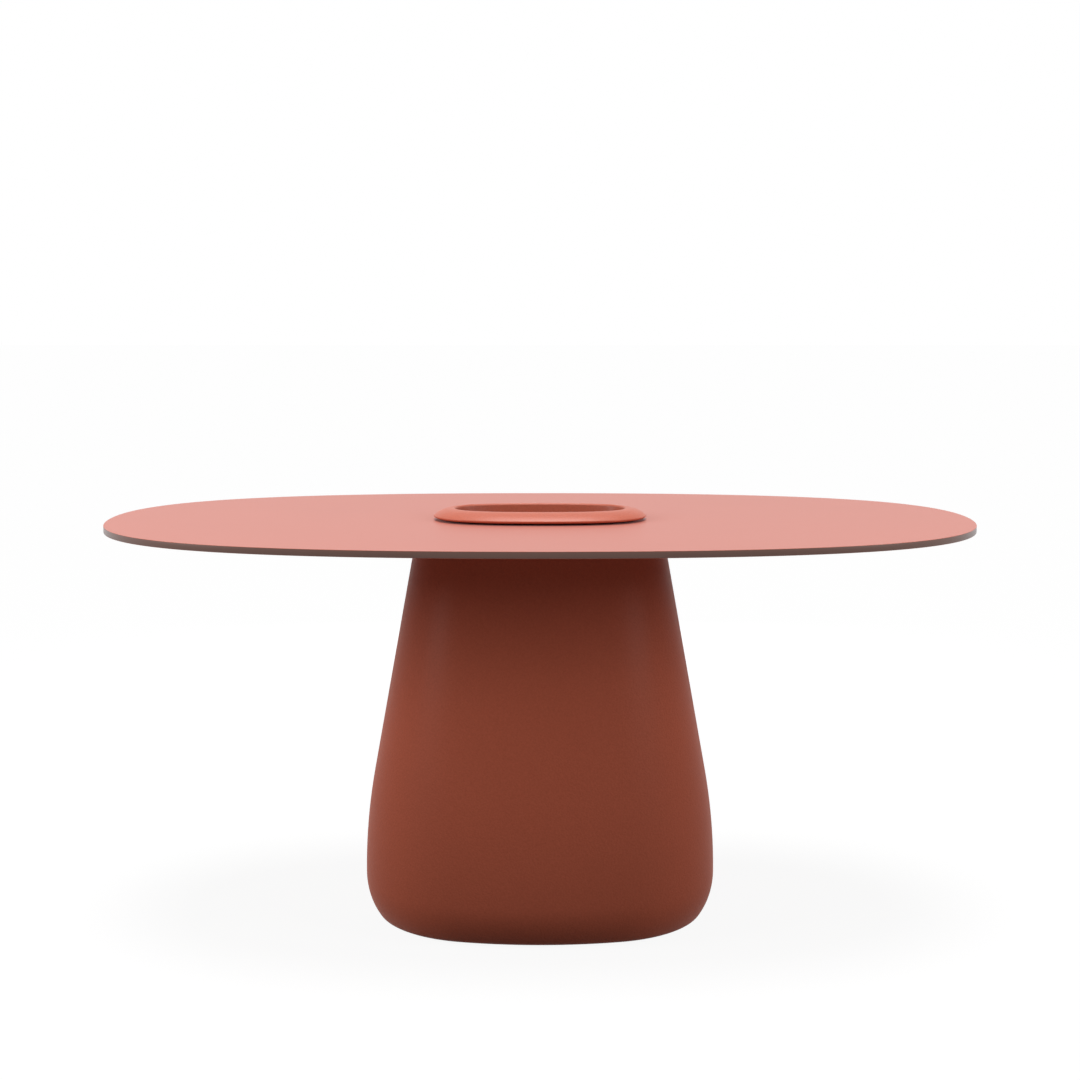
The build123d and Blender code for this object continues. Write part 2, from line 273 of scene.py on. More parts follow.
bpy.ops.object.select_all(action="DESELECT")
bpy.ops.curve.primitive_bezier_circle_add(location=(0, 0, TABLE_HEIGHT))
outline = bpy.context.object
outline.data.dimensions = "3D"
outline.data.resolution_u = sum(bucket_oval.steps)
for knot in outline.data.splines[0].bezier_points:
    knot.handle_left_type = "FREE"
    knot.handle_right_type = "FREE"
    knot.handle_left = knot.co + TOP_FULLNESS * (knot.handle_left - knot.co).normalized()
    knot.handle_right = knot.co + TOP_FULLNESS * (knot.handle_right - knot.co).normalized()
outline.scale = (half_length, half_depth, 1)
bpy.ops.object.convert(target="MESH")
bpy.ops.object.transform_apply(location=True, rotation=True, scale=True)

table_top.select_set(True)
bpy.context.view_layer.objects.active = table_top
bpy.ops.object.join()
bpy.ops.object.mode_set(mode="EDIT")
bpy.ops.mesh.select_mode(type="EDGE")
bpy.ops.mesh.select_all(action="SELECT")
bpy.ops.mesh.bridge_edge_loops(number_cuts=TOP_CUTS, interpolation="LINEAR")
bpy.ops.mesh.select_all(action="SELECT")
bpy.ops.mesh.extrude_region_move(TRANSFORM_OT_translate={"value": (0, 0, TOP_UNDERSIDE - TABLE_HEIGHT)})
close_up(table_top)

# A narrow border is inset on both faces first, so that the eased arris does not bend their flat shading.
bpy.ops.object.mode_set(mode="EDIT")
for level in (TABLE_HEIGHT, TOP_UNDERSIDE):
    pick_faces(table_top, level)
    bpy.ops.mesh.inset(thickness=TOP_BORDER, use_boundary=True)
ease_sharp_edges(TOP_EASING, segments=3)
close_up(table_top)

# %% [markdown]
# ## Pedestal
# The pedestal is a hollow plastic moulding. Its outside is one section: a rim on the floor side, a tight
# heel, a wide flank, a long and gently rounded waist and a straight taper up to the top. They have to meet
# without a corner, so the taper's slope is not chosen: it is the line from the neck that just touches the
# waist's arc. These sums come before any drawing.

# %% Pedestal section
FLOOR_GAP = 4 * MM
HEEL_RADIUS = 19.5 * MM
HEEL_TURN = 55
FLANK_RADIUS = 118 * MM
WAIST_RADIUS = 1050 * MM
NECK_INSET = 100.6 * MM
NECK_EASING = 3 * MM
SHELL_WALL = 6 * MM
DECK_FLANGE = 18 * MM
DECK_OPENING = 19 * MM
RIM_WIDTH = 9 * MM
POCKET_DRAFT = 7
PLATE_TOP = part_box("ballast_plate")[1][2]

flank_turn = 90 - HEEL_TURN
flank_run = FLANK_RADIUS * (1 - math.cos(math.radians(flank_turn)))
heel_run = HEEL_RADIUS * math.sin(math.radians(HEEL_TURN))
heel_rise = HEEL_RADIUS * (1 - math.cos(math.radians(HEEL_TURN)))
belly_x = base_oval.half_x
belly_z = FLOOR_GAP + heel_rise + FLANK_RADIUS * math.sin(math.radians(flank_turn))
neck_run = WAIST_RADIUS - NECK_INSET
neck_rise = TOP_UNDERSIDE - belly_z
taper = math.atan2(neck_rise, neck_run) - math.acos(WAIST_RADIUS / math.hypot(neck_run, neck_rise))
taper_rise = neck_rise - WAIST_RADIUS * math.sin(taper)
pocket_rise = PLATE_TOP - FLOOR_GAP
pocket_run = pocket_rise * math.tan(math.radians(POCKET_DRAFT))
rim_x = belly_x - flank_run - heel_run
print("widest", round(belly_z, 4), "m above the floor; taper", round(math.degrees(taper), 2), "degrees")

# %% [markdown]
# ## Pedestal shell
# The inside follows the outside, 6 mm in. Both lines are drawn on the section plane and swept together, then
# the deck that carries the top is filled in between the pedestal's oval and the bucket's. A bridge would do
# the same, but two rings with one common middle give it no direction, and it can join each point to the far
# side.

# %% Pedestal shell
pedestal = new_piece("pedestal")
put_point(rim_x - RIM_WIDTH - pocket_run, PLATE_TOP)
line_by(pocket_run, -pocket_rise)
line_by(RIM_WIDTH, 0)
arc_about(rim_x, FLOOR_GAP + HEEL_RADIUS, HEEL_TURN, steps=10)
arc_about(belly_x - FLANK_RADIUS, belly_z, flank_turn, steps=12)
arc_about(belly_x - WAIST_RADIUS, belly_z, math.degrees(taper), steps=10)

# The top corner of the neck is eased by a small arc before the deck runs inwards.
easing_turn = math.pi / 2 - taper
easing_reach = NECK_EASING * math.tan(easing_turn / 2)
easing_z = TOP_UNDERSIDE - easing_reach * math.cos(taper)
easing_x = belly_x - NECK_INSET + easing_reach * math.sin(taper)
straight_rise = taper_rise - easing_reach * math.cos(taper)
line_by(-straight_rise * math.tan(taper), straight_rise)
arc_about(
    easing_x - NECK_EASING * math.cos(taper),
    easing_z - NECK_EASING * math.sin(taper),
    math.degrees(easing_turn),
    steps=4,
)
line_by(easing_reach - DECK_FLANGE, 0)

# The inside wall is drawn from the deck down to the floor over the ballast plate.
deck_bottom = TOP_UNDERSIDE - SHELL_WALL
ceiling_top = PLATE_TOP + SHELL_WALL
inner_waist = WAIST_RADIUS - SHELL_WALL
inner_flank = FLANK_RADIUS - SHELL_WALL
neck_wall_x = belly_x - NECK_INSET - SHELL_WALL
put_point(belly_x - NECK_INSET - DECK_FLANGE, deck_bottom)
line_by(DECK_FLANGE - SHELL_WALL, 0)
line_by(
    belly_x - WAIST_RADIUS + inner_waist * math.cos(taper) - neck_wall_x,
    belly_z + inner_waist * math.sin(taper) - deck_bottom,
)
arc_about(belly_x - WAIST_RADIUS, belly_z, -math.degrees(taper), steps=10)
floor_turn = math.asin((belly_z - ceiling_top) / inner_flank)
arc_about(belly_x - FLANK_RADIUS, belly_z, -math.degrees(floor_turn), steps=5)

bpy.ops.mesh.select_all(action="SELECT")
base_oval.sweep()

# The edge of the deck's opening is a short wall round the bucket's oval.
put_point(bucket_oval.half_x + DECK_OPENING, deck_bottom)
line_by(0, SHELL_WALL)
bpy.ops.mesh.select_linked()
bucket_oval.sweep()
merge_points()
for level in (TOP_UNDERSIDE, deck_bottom):
    pick_open_edges(pedestal, level)
    bpy.ops.mesh.fill(use_beauty=True)
for level in (PLATE_TOP, ceiling_top):
    pick_open_edges(pedestal, level)
    bpy.ops.mesh.edge_face_add()
close_up(pedestal)

# %% [markdown]
# ## Ice bucket
# The tub and its collar are one moulding. The collar is what everyone touches, so it has no sharp edge: a
# small round on the crest, a shallow dome outwards, and a tight nose that is undercut, so that the collar
# seems to float over a thin dark line. The dome's radius is not chosen but solved, so that it leaves the
# crest level and runs into the nose without a corner.

# %% Ice bucket
BUCKET_WALL = 5 * MM
BUCKET_DRAFT = math.radians(3)
BUCKET_CORNER = 20 * MM
COLLAR_WIDTH = 40 * MM
COLLAR_GAP = 4 * MM
CREST_RADIUS = 4 * MM
NOSE_RADIUS = 2.2 * MM
NOSE_RISE = 7.2 * MM
UNDERCUT = 60
CREST_CHAMFER = 2.5 * MM
FLOOR_BORDER = 6 * MM

bucket_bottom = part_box("ice_bucket")[0][2]
crest_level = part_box("ice_bucket")[1][2]
bucket_floor = bucket_bottom + BUCKET_WALL
collar_underside = TABLE_HEIGHT + COLLAR_GAP
corner_z = bucket_floor + BUCKET_CORNER
draft_slope = math.tan(BUCKET_DRAFT)
opening_x = bucket_oval.half_x
wall_top = crest_level - CREST_CHAMFER


def wall_x(level):
    """Where the inside of the drafted wall is at a level."""
    return opening_x - (wall_top - level) * draft_slope


corner_x = wall_x(corner_z) - BUCKET_CORNER / math.cos(BUCKET_DRAFT)
crest_z = crest_level - CREST_RADIUS
crest_x = wall_x(crest_z) + CREST_RADIUS / math.cos(BUCKET_DRAFT)
nose_x = opening_x + COLLAR_WIDTH - NOSE_RADIUS
nose_z = TABLE_HEIGHT + NOSE_RISE
dome_run = nose_x - crest_x
dome_drop = crest_level - nose_z
dome_radius = (dome_run**2 + dome_drop**2 - NOSE_RADIUS**2) / (2 * (dome_drop - NOSE_RADIUS))
dome_turn = math.degrees(math.asin(dome_run / (dome_radius - NOSE_RADIUS)))
undercut_fall = nose_z - NOSE_RADIUS * math.sin(math.radians(UNDERCUT)) - collar_underside
undercut_run = undercut_fall * math.tan(math.radians(UNDERCUT))
underside_x = nose_x + NOSE_RADIUS * math.cos(math.radians(UNDERCUT)) - undercut_run
corner_turn = 90 - math.degrees(BUCKET_DRAFT)
wall_start = corner_z - BUCKET_CORNER * math.sin(BUCKET_DRAFT)
wall_end = crest_z + CREST_RADIUS * math.sin(BUCKET_DRAFT)
outer_corner = BUCKET_CORNER + BUCKET_WALL
outer_start = corner_z - outer_corner * math.sin(BUCKET_DRAFT)
outer_x = corner_x + outer_corner * math.cos(BUCKET_DRAFT)
neck_x = outer_x + (collar_underside - outer_start) * draft_slope

bucket = new_piece("bucket")
put_point(corner_x, bucket_floor)
arc_about(corner_x, corner_z, corner_turn, steps=8)
line_by((wall_end - wall_start) * draft_slope, wall_end - wall_start)
arc_about(crest_x, crest_z, math.degrees(BUCKET_DRAFT) - 90, steps=6)
arc_about(crest_x, crest_level - dome_radius, -dome_turn, steps=12)
arc_about(nose_x, nose_z, dome_turn - 90 - UNDERCUT, steps=12)
line_by(-undercut_run, -undercut_fall)
line_by(neck_x - underside_x, 0)
line_by(outer_x - neck_x, outer_start - collar_underside)
arc_about(corner_x, corner_z, -corner_turn, steps=8)
bpy.ops.mesh.select_all(action="SELECT")
bucket_oval.sweep()
merge_points()

# The flat floor is filled inside and out, with a border like the tabletop's to keep its shading flat.
for level in (bucket_floor, bucket_bottom):
    pick_open_edges(bucket, level)
    bpy.ops.mesh.edge_face_add()
    bpy.ops.mesh.inset(thickness=FLOOR_BORDER)
close_up(bucket)
print("dome radius in mm:", round(dome_radius / MM, 1))

# %% [markdown]
# ## Gasket
# A rubber ring is bonded under the collar and holds it just clear of the top, which gives the dark line all
# round. Real gaskets have sealing ribs, so the section is three half-round ribs below a flat back, drawn and
# swept like the collar itself.

# %% Gasket
GASKET_INSET = 14 * MM
GASKET_WIDTH = 8 * MM
GASKET_RIBS = 3

rib_radius = GASKET_WIDTH / (2 * GASKET_RIBS)
rib_x = opening_x + GASKET_INSET + rib_radius
gasket = new_piece("gasket_ring")
put_point(rib_x - rib_radius, TABLE_HEIGHT + rib_radius)
for number in range(GASKET_RIBS):
    arc_about(rib_x + 2 * number * rib_radius, TABLE_HEIGHT + rib_radius, 180, steps=8)
line_by(0, COLLAR_GAP - rib_radius)
line_by(-GASKET_WIDTH, 0)
line_by(0, rib_radius - COLLAR_GAP)
bpy.ops.mesh.select_all(action="SELECT")
bucket_oval.sweep()
close_up(gasket)

# %% [markdown]
# ## Tools for small parts
# The small parts are bars, hexagons and screws. Bars and hexagons start as primitives and are shaped further:
# edges are eased with a bevel, and holes are bored by a Boolean modifier. A thread is one V-shaped ridge that
# the Screw modifier winds upwards. Bolts and feet are made once on the Z axis and copied to their places.

# %% Tools for small parts
HOLE_SIDES = 32
HEXAGON_SIDES = 6
BOLT_CLEARANCE = 0.1 * MM
OVERCUT = 1 * MM
ON_AXIS = [(0, 0)]


def work_on(piece):
    """Makes one object the only selected and active one."""
    bpy.ops.object.select_all(action="DESELECT")
    piece.select_set(True)
    bpy.context.view_layer.objects.active = piece


def join_as(name, parts):
    """Joins several objects into one piece."""
    work_on(parts[0])
    for part in parts:
        part.select_set(True)
    if len(parts) > 1:
        bpy.ops.object.join()
    parts[0].name = name
    parts[0].data.name = name
    return parts[0]


def posts(name, spots, sides, radius, bottom, top):
    """Upright prisms at several spots in one mesh; a hexagon has corners along X."""
    made = []
    for x, y in spots:
        bpy.ops.object.select_all(action="DESELECT")
        bpy.ops.mesh.primitive_cylinder_add(
            vertices=sides,
            radius=radius,
            depth=top - bottom,
            location=(x, y, (bottom + top) / 2),
            rotation=(0, 0, math.pi / 2),
        )
        bpy.ops.object.transform_apply(location=True, rotation=True, scale=True)
        made.append(bpy.context.object)
    return join_as(name, made)


def combine(piece, tool, operation):
    """Cuts or joins one closed mesh with another, then removes the tool and the slots it brought."""
    modifier = piece.modifiers.new("combine", "BOOLEAN")
    modifier.operation = operation
    modifier.solver = "MANIFOLD"
    modifier.object = tool
    work_on(piece)
    bpy.ops.object.modifier_apply(modifier=modifier.name)
    piece.data.materials.clear()
    work_on(tool)
    bpy.ops.object.delete()


def bore(piece, spots, radius, bottom, top, sides=HOLE_SIDES):
    """Bores upright holes; two bores of different width make a counterbore."""
    combine(piece, posts("bore", spots, sides, radius, bottom, top), "DIFFERENCE")


def eased(piece, width, segments):
    """Bevels all sharp edges of a piece in object mode."""
    work_on(piece)
    bpy.ops.object.mode_set(mode="EDIT")
    ease_sharp_edges(width, segments)
    bpy.ops.object.mode_set(mode="OBJECT")
    return piece


def copied_to(model, spots):
    """Copies a model to each spot, every copy with its own mesh, and removes the model."""
    copies = []
    for x, y in spots:
        work_on(model)
        bpy.ops.object.duplicate(linked=False)
        bpy.ops.transform.translate(value=(x, y, 0))
        bpy.ops.object.transform_apply(location=True, rotation=False, scale=False)
        copies.append(bpy.context.object)
    work_on(model)
    bpy.ops.object.delete()
    return copies


def middle_of(node):
    """The middle of a node's box, seen from above."""
    low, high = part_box(node)
    return (low[0] + high[0]) / 2, (low[1] + high[1]) / 2


print("tools for small parts ready")

# %% [markdown]
# ## Clamp bars
# Four flat steel bars lie under the pedestal's deck, and bolts through them pull the top down onto it. A bar
# is a block whose upright corners are rounded wide and whose other edges are only broken, as sheared and
# tumbled steel is. Its bolts sit near its two ends.

# %% Clamp bars
CLAMP_CORNER = 5 * MM
CLAMP_EASING = 0.6 * MM
CLAMP_BOLT_MARGIN = 16 * MM
TOP_BOLT_RADIUS = 3 * MM


def rounded_slab(name, node, corner, steps, easing):
    """A block as large as a node, with rounded upright corners and eased edges."""
    low, high = (Vector(place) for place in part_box(node))
    bpy.ops.object.select_all(action="DESELECT")
    bpy.ops.mesh.primitive_cube_add(size=1, location=(low + high) / 2, scale=high - low)
    slab = bpy.context.object
    slab.name = name
    slab.data.name = name
    bpy.ops.object.transform_apply(location=True, rotation=True, scale=True)
    bpy.ops.object.mode_set(mode="EDIT")
    bpy.ops.mesh.select_mode(type="EDGE")
    bpy.ops.mesh.select_all(action="DESELECT")
    mesh = bmesh.from_edit_mesh(slab.data)
    for edge in mesh.edges:
        first, second = (point.co for point in edge.verts)
        edge.select_set((first - second).xy.length < TOLERANCE)
    bmesh.update_edit_mesh(slab.data)
    bpy.ops.mesh.bevel(offset=corner, segments=steps, affect="EDGES")
    ease_sharp_edges(easing, segments=2)
    bpy.ops.object.mode_set(mode="OBJECT")
    return slab


bolt_hole = TOP_BOLT_RADIUS + BOLT_CLEARANCE
clamps = {}
top_bolt_spots = []
for side in ("front", "back", "left", "right"):
    node = "clamp_" + side
    bar = rounded_slab("clamp_bar_" + side, node, CLAMP_CORNER, steps=6, easing=CLAMP_EASING)
    low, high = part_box(node)
    half_x = (high[0] - low[0]) / 2
    half_y = (high[1] - low[1]) / 2
    along_x = half_x - CLAMP_BOLT_MARGIN if half_x > half_y else 0
    along_y = half_y - CLAMP_BOLT_MARGIN if half_y > half_x else 0
    x, y = middle_of(node)
    spots = [(x + along_x, y + along_y), (x - along_x, y - along_y)]
    bore(bar, spots, bolt_hole, low[2] - OVERCUT, high[2] + OVERCUT)
    top_bolt_spots += spots
    clamps[node] = bar
print("clamp bars:", len(clamps), "with bolts:", len(top_bolt_spots))

# %% [markdown]
# ## Bolts
# A hexagon head is not a plain six-sided bar: a turned cone takes off its corners. Here a round bar with a
# chamfered rim is kept only where it overlaps the hexagon, which leaves that curved edge on each flat. The
# thread is wound over the whole shank and cut square at both ends.

# %% Bolts
TOP_HEAD_RADIUS = 5.77 * MM
TOP_HEAD_HEIGHT = 4 * MM
TOP_BOLT_LENGTH = 18 * MM
TOP_BOLT_PITCH = 1 * MM
PLATE_HEAD_RADIUS = 7.5 * MM
PLATE_HEAD_HEIGHT = 8 * MM
PLATE_BOLT_RADIUS = 4 * MM
PLATE_BOLT_LENGTH = 24 * MM
PLATE_BOLT_PITCH = 1.25 * MM
PLATE_RECESS_DEPTH = 9 * MM
THREAD_STEPS = 24
THREAD_DEPTH_BY_PITCH = 0.55
THREAD_TOLERANCE = 0.001 * MM
TURNS_BELOW = 2
TURNS_ABOVE = 1
TURNED_BAR_BY_RADIUS = 1.02
TURNED_CHAMFER_BY_RADIUS = 0.2


def hexagon(name, radius, bottom, top):
    """A hexagon bar on the Z axis whose corners are turned off at both ends."""
    bar = posts(name, ON_AXIS, HEXAGON_SIDES, radius, bottom, top)
    turned = posts("turned", ON_AXIS, 2 * HOLE_SIDES, TURNED_BAR_BY_RADIUS * radius, bottom, top)
    combine(bar, eased(turned, TURNED_CHAMFER_BY_RADIUS * radius, segments=1), "INTERSECT")
    return bar


def screw_thread(name, radius, pitch, bottom, top):
    """A closed screw on the Z axis: one ridge wound up by the Screw modifier, cut square at both ends."""
    depth = THREAD_DEPTH_BY_PITCH * pitch
    thread = new_piece(name)
    put_point(radius - depth, bottom - TURNS_BELOW * pitch)
    line_by(depth, pitch / 2)
    line_by(-depth, pitch / 2)
    bpy.ops.object.mode_set(mode="OBJECT")
    winding = thread.modifiers.new("winding", "SCREW")
    winding.screw_offset = pitch
    winding.iterations = TURNS_BELOW + math.ceil((top - bottom) / pitch) + TURNS_ABOVE
    winding.steps = THREAD_STEPS
    winding.render_steps = THREAD_STEPS
    work_on(thread)
    bpy.ops.object.modifier_apply(modifier=winding.name)
    bpy.ops.object.mode_set(mode="EDIT")
    for level, way in ((bottom, -1), (top, 1)):
        bpy.ops.mesh.select_all(action="SELECT")
        bpy.ops.mesh.remove_doubles(threshold=THREAD_TOLERANCE)
        bpy.ops.mesh.bisect(
            plane_co=(0, 0, level),
            plane_no=(0, 0, way),
            use_fill=True,
            clear_outer=True,
            threshold=THREAD_TOLERANCE,
        )
    close_up(thread)
    return thread


def hexagon_bolts(name, spots, head, shank, seat):
    """Bolts with their heads below the seat; head is radius and height, shank radius, length and pitch."""
    head_radius, head_height = head
    shank_radius, shank_length, pitch = shank
    top = hexagon("head", head_radius, seat - head_height, seat)
    thread = screw_thread("shank", shank_radius, pitch, seat - head_height / 2, seat + shank_length)
    return join_as(name, copied_to(join_as(name, [top, thread]), spots))


clamp_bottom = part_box("clamp_front")[0][2]
plate_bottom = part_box("ballast_plate")[0][2]

# The plate's bolts sit halfway from its middle to the four feet.
foot_x, foot_y = middle_of("foot_pad_1")
plate_bolt_spots = [(x * foot_x / 2, y * foot_y / 2) for x in (-1, 1) for y in (-1, 1)]
top_bolts = hexagon_bolts(
    "hexagon_bolts_top",
    top_bolt_spots,
    (TOP_HEAD_RADIUS, TOP_HEAD_HEIGHT),
    (TOP_BOLT_RADIUS, TOP_BOLT_LENGTH, TOP_BOLT_PITCH),
    clamp_bottom,
)
plate_bolts = hexagon_bolts(
    "hexagon_bolts_plate",
    plate_bolt_spots,
    (PLATE_HEAD_RADIUS, PLATE_HEAD_HEIGHT),
    (PLATE_BOLT_RADIUS, PLATE_BOLT_LENGTH, PLATE_BOLT_PITCH),
    plate_bottom + PLATE_RECESS_DEPTH,
)
print("bolt faces:", len(top_bolts.data.polygons), len(plate_bolts.data.polygons))

# %% [markdown]
# ## Bolt holes and bosses
# The bolts need somewhere to go: blind holes in the underside of the top, clear holes in the deck, and
# bosses over the pedestal's floor that hold brass nuts. The bosses are added first and the pockets for the
# nuts are cut into them from below.

# %% Bolt holes and bosses
TOP_HOLE_DEPTH = 9 * MM
BOSS_RADIUS = 13 * MM
BOSS_ROOF = 8 * MM
INSERT_RADIUS = 8 * MM
INSERT_CLEARANCE = 0.05 * MM

insert_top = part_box("plate_inserts")[1][2]
bore(table_top, top_bolt_spots, bolt_hole, TOP_UNDERSIDE - OVERCUT, TOP_UNDERSIDE + TOP_HOLE_DEPTH)
bore(pedestal, top_bolt_spots, bolt_hole, deck_bottom - OVERCUT, TOP_UNDERSIDE + OVERCUT)
bosses = posts(
    "bosses",
    plate_bolt_spots,
    sides=2 * HOLE_SIDES,
    radius=BOSS_RADIUS,
    bottom=PLATE_TOP + SHELL_WALL / 2,
    top=insert_top + BOSS_ROOF,
)
combine(pedestal, bosses, "UNION")
insert_hole = INSERT_RADIUS + INSERT_CLEARANCE
bore(pedestal, plate_bolt_spots, insert_hole, PLATE_TOP - OVERCUT, insert_top, sides=HEXAGON_SIDES)
print("top and pedestal faces:", len(table_top.data.polygons), len(pedestal.data.polygons))

# %% [markdown]
# ## Ballast plate
# A hollow plastic pedestal would tip, so a 20 mm steel plate sits in the pocket under it and carries the
# feet. It is a slab with wide round corners, bored for the four foot screws and counterbored from below so
# that the bolt heads stay clear of the floor.

# %% Ballast plate
FEET = (1, 2, 3, 4)
PLATE_CORNER = 60 * MM
PLATE_EASING = 1.5 * MM
PLATE_RECESS_RADIUS = 9 * MM
STEM_RADIUS = 5 * MM
TURN_CLEARANCE = 0.05 * MM

foot_spots = [middle_of(f"foot_pad_{number}") for number in FEET]
ballast = rounded_slab("ballast_slab", "ballast_plate", PLATE_CORNER, steps=16, easing=PLATE_EASING)
below_plate = plate_bottom - OVERCUT
above_plate = PLATE_TOP + OVERCUT
bore(ballast, foot_spots, STEM_RADIUS + TURN_CLEARANCE, below_plate, above_plate)
bore(ballast, plate_bolt_spots, PLATE_BOLT_RADIUS + BOLT_CLEARANCE, below_plate, above_plate)
bore(ballast, plate_bolt_spots, PLATE_RECESS_RADIUS, below_plate, plate_bottom + PLATE_RECESS_DEPTH)
print("ballast faces:", len(ballast.data.polygons))

# %% [markdown]
# ## Levelling feet
# Each foot is a nylon shoe and a steel screw that turns in it. The shoe is a hexagon with softened edges and
# a blind bore for the screw's pin. The screw has a pin, a nut-shaped grip for a spanner and a coarse thread
# that goes up into the plate, and the thread shows when the foot is wound out.

# %% Levelling feet
PAD_RADIUS = 24 * MM
PAD_HEIGHT = 9 * MM
PAD_FLOOR = 3 * MM
PAD_EASING = 1.4 * MM
PIN_RADIUS = 4 * MM
PIN_CHAMFER = 0.4 * MM
NUT_RADIUS = 9.24 * MM
NUT_HEIGHT = 6 * MM
STEM_LENGTH = 19 * MM
STEM_PITCH = 1.5 * MM

pad = posts("pad", ON_AXIS, HEXAGON_SIDES, PAD_RADIUS, 0, PAD_HEIGHT)
eased(pad, PAD_EASING, segments=4)
bore(pad, ON_AXIS, PIN_RADIUS + TURN_CLEARANCE, PAD_FLOOR, PAD_HEIGHT + OVERCUT)
pads = copied_to(pad, foot_spots)

# The pin and the thread both reach into the middle of the grip.
grip_middle = plate_bottom - NUT_HEIGHT / 2
grip = hexagon("grip", NUT_RADIUS, plate_bottom - NUT_HEIGHT, plate_bottom)
pin = posts("pin", ON_AXIS, HOLE_SIDES, PIN_RADIUS, PAD_FLOOR, grip_middle)
combine(grip, eased(pin, PIN_CHAMFER, segments=1), "UNION")
thread = screw_thread("thread", STEM_RADIUS, STEM_PITCH, grip_middle, plate_bottom + STEM_LENGTH)
stems = copied_to(join_as("stem", [grip, thread]), foot_spots)
for number, shoe, screw in zip(FEET, pads, stems):
    shoe.name = f"foot_shoe_{number}"
    screw.name = f"foot_screw_{number}"
print("foot faces:", len(pads[0].data.polygons), len(stems[0].data.polygons))

# %% [markdown]
# ## Smooth shading
# The big forms are curved all over, but they also have real corners, such as the edge of the sheet and the
# rim under the pedestal. Shading by angle keeps both: faces that meet gently blend, and sharp ones stay
# crisp.

# %% Shading
SMOOTH_ANGLE = 30

big_forms = [table_top, pedestal, bucket, gasket]
small_parts = [*clamps.values(), top_bolts, ballast, plate_bolts, *pads, *stems]
for piece in big_forms + small_parts:
    work_on(piece)
    bpy.ops.object.shade_smooth_by_angle(angle=math.radians(SMOOTH_ANGLE))
print("shaded pieces:", len(big_forms) + len(small_parts))

# %% [markdown]
# ## Shader maths
# A material's pattern is arithmetic on sockets. Placing Math nodes one by one hides the sum, so a small
# class wraps a socket and lets Python's own operators add the nodes. Everything else, such as a noise or a
# bump, comes from one method that takes the node's type, its settings and its inputs.

# %% Shader maths
class Socket:
    """An output of a node. Arithmetic on it adds Math nodes to the same node tree."""

    def __init__(self, tree, output):
        self.tree = tree
        self.output = output

    def node(self, kind, settings, sockets, output=0):
        """Adds a node with its settings first, then the values or links of its sockets."""
        node = self.tree.nodes.new(kind)
        for name, value in settings.items():
            setattr(node, name, value)
        for name, value in sockets.items():
            if isinstance(value, Socket):
                self.tree.links.new(value.output, node.inputs[name])
            else:
                node.inputs[name].default_value = value
        return Socket(self.tree, node.outputs[output])

    def maths(self, operation, first, second):
        """Adds one Math node."""
        return self.node("ShaderNodeMath", {"operation": operation}, {0: first, 1: second})

    def __add__(self, other):
        return self.maths("ADD", self, other)

    def __radd__(self, other):
        return self.maths("ADD", other, self)

    def __sub__(self, other):
        return self.maths("SUBTRACT", self, other)

    def __rsub__(self, other):
        return self.maths("SUBTRACT", other, self)

    def __mul__(self, other):
        return self.maths("MULTIPLY", self, other)

    def __rmul__(self, other):
        return self.maths("MULTIPLY", other, self)

    def __gt__(self, other):
        return self.maths("GREATER_THAN", self, other)


def new_finish(name):
    """A material with one Principled shader; gives the material, the shader and Object coordinates."""
    material = bpy.data.materials.new(name)
    material.use_nodes = True
    tree = material.node_tree
    shader = tree.nodes["Principled BSDF"]
    place = tree.nodes.new("ShaderNodeTexCoord")
    return material, shader, Socket(tree, place.outputs["Object"])


def noise(place, scale, detail=2.0):
    """Noise about a middle of 0.5, with scale in bumps per metre."""
    sockets = {"Vector": place, "Scale": scale, "Detail": detail}
    return place.node("ShaderNodeTexNoise", {"noise_dimensions": "3D"}, sockets)


def mixed(factor, first, second):
    """A colour between two others, each a link or numbers for red, green and blue."""
    ends = [colour if isinstance(colour, Socket) else (*colour, 1) for colour in (first, second)]
    sockets = {"Factor": factor, 6: ends[0], 7: ends[1]}
    return factor.node("ShaderNodeMix", {"data_type": "RGBA"}, sockets, output=2)


def feed(value, socket):
    """Links a value to a shader's socket."""
    value.tree.links.new(value.output, socket)


print("shader tools ready")

# %% [markdown]
# ## Moulded terracotta plastic
# Rotational moulding gives a satin skin: one even pigment, a faint cloudiness where the powder melted at
# different moments, and a fine sandy grain printed by the mould. Colour, gloss and grain come from noise at
# three sizes on the piece's own coordinates, so they stay put on the piece from any side. The colour is also
# darker in the mould's dimples, painted shade that deepens their bump. The pedestal is duller than the tub,
# with a thin clear skin that shines mostly where it is seen at a low angle.

# %% Moulded plastic
TERRACOTTA = (0.54, 0.125, 0.068)
TERRACOTTA_DEEP = (0.46, 0.105, 0.056)
CLOUDS_PER_METRE = 9
DIMPLES_PER_METRE = 300
GRAINS_PER_METRE = 1100
DIMPLE_DEPTH = 0.5 * MM
GRAIN_DEPTH = 0.06 * MM
CLOUD_TONE = 0.4
# The weight of the dimple noise in the colour: painted shade in the hollow of each dimple.
PAINTED_DIMPLE_SHADE = 1.6
TONE_OFFSET = 0.5
ROUGHNESS_SPREAD = 0.08
SKIN_ROUGHNESS = 0.36


